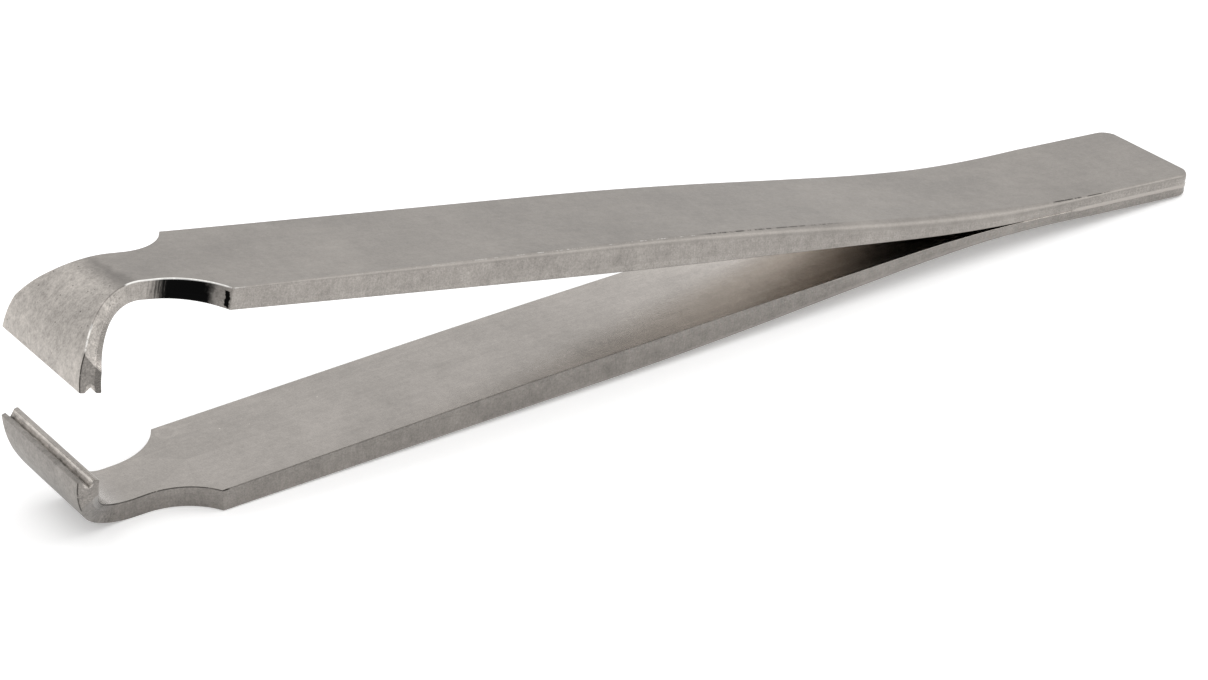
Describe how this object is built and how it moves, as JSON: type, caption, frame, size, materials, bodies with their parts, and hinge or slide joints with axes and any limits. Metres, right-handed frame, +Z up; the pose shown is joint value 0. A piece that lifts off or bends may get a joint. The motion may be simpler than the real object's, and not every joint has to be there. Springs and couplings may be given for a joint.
{
  "type": "print tongs",
  "caption": "Sprung steel tongs: a strip-metal pair of arms welded at the tail, each with a narrow waist and a wide bent jaw whose end is grooved.",
  "frame": {"origin": "centre of the footprint of the whole tongs on the ground, lying on the lower arm", "axes": "+X from the jaws to the welded tail, +Y across the strip, +Z up"},
  "size_m": [0.1196, 0.0136, 0.0206],
  "materials": {
    "satin_steel": "bead-blasted and lightly brushed satin stainless steel",
    "weld_metal": "weld ground flush and brushed"
  },
  "bodies": {
    "joined_tail": {"upper_tail": "satin_steel", "lower_tail": "satin_steel", "weld_bead": "weld_metal"},
    "upper_arm": {"upper_arm": "satin_steel"},
    "lower_arm": {"lower_arm": "satin_steel"}
  },
  "joints": [
    {"name": "upper_arm_flex", "type": "hinge", "parent": "joined_tail", "child": "upper_arm", "pos_m": [0.02771, 0, 0.00416], "axis": [0, -1, 0], "range_deg": [0, 2.44], "stiffness_Nm_per_rad": 7.5},
    {"name": "lower_arm_flex", "type": "hinge", "parent": "joined_tail", "child": "lower_arm", "pos_m": [0.02764, 0, 0.00328], "axis": [0, 1, 0], "range_deg": [0, 2.44], "stiffness_Nm_per_rad": 7.5}
  ],
  "couplings": [
    {"joint": "lower_arm_flex", "follows": "upper_arm_flex", "ratio": 1}
  ]
}
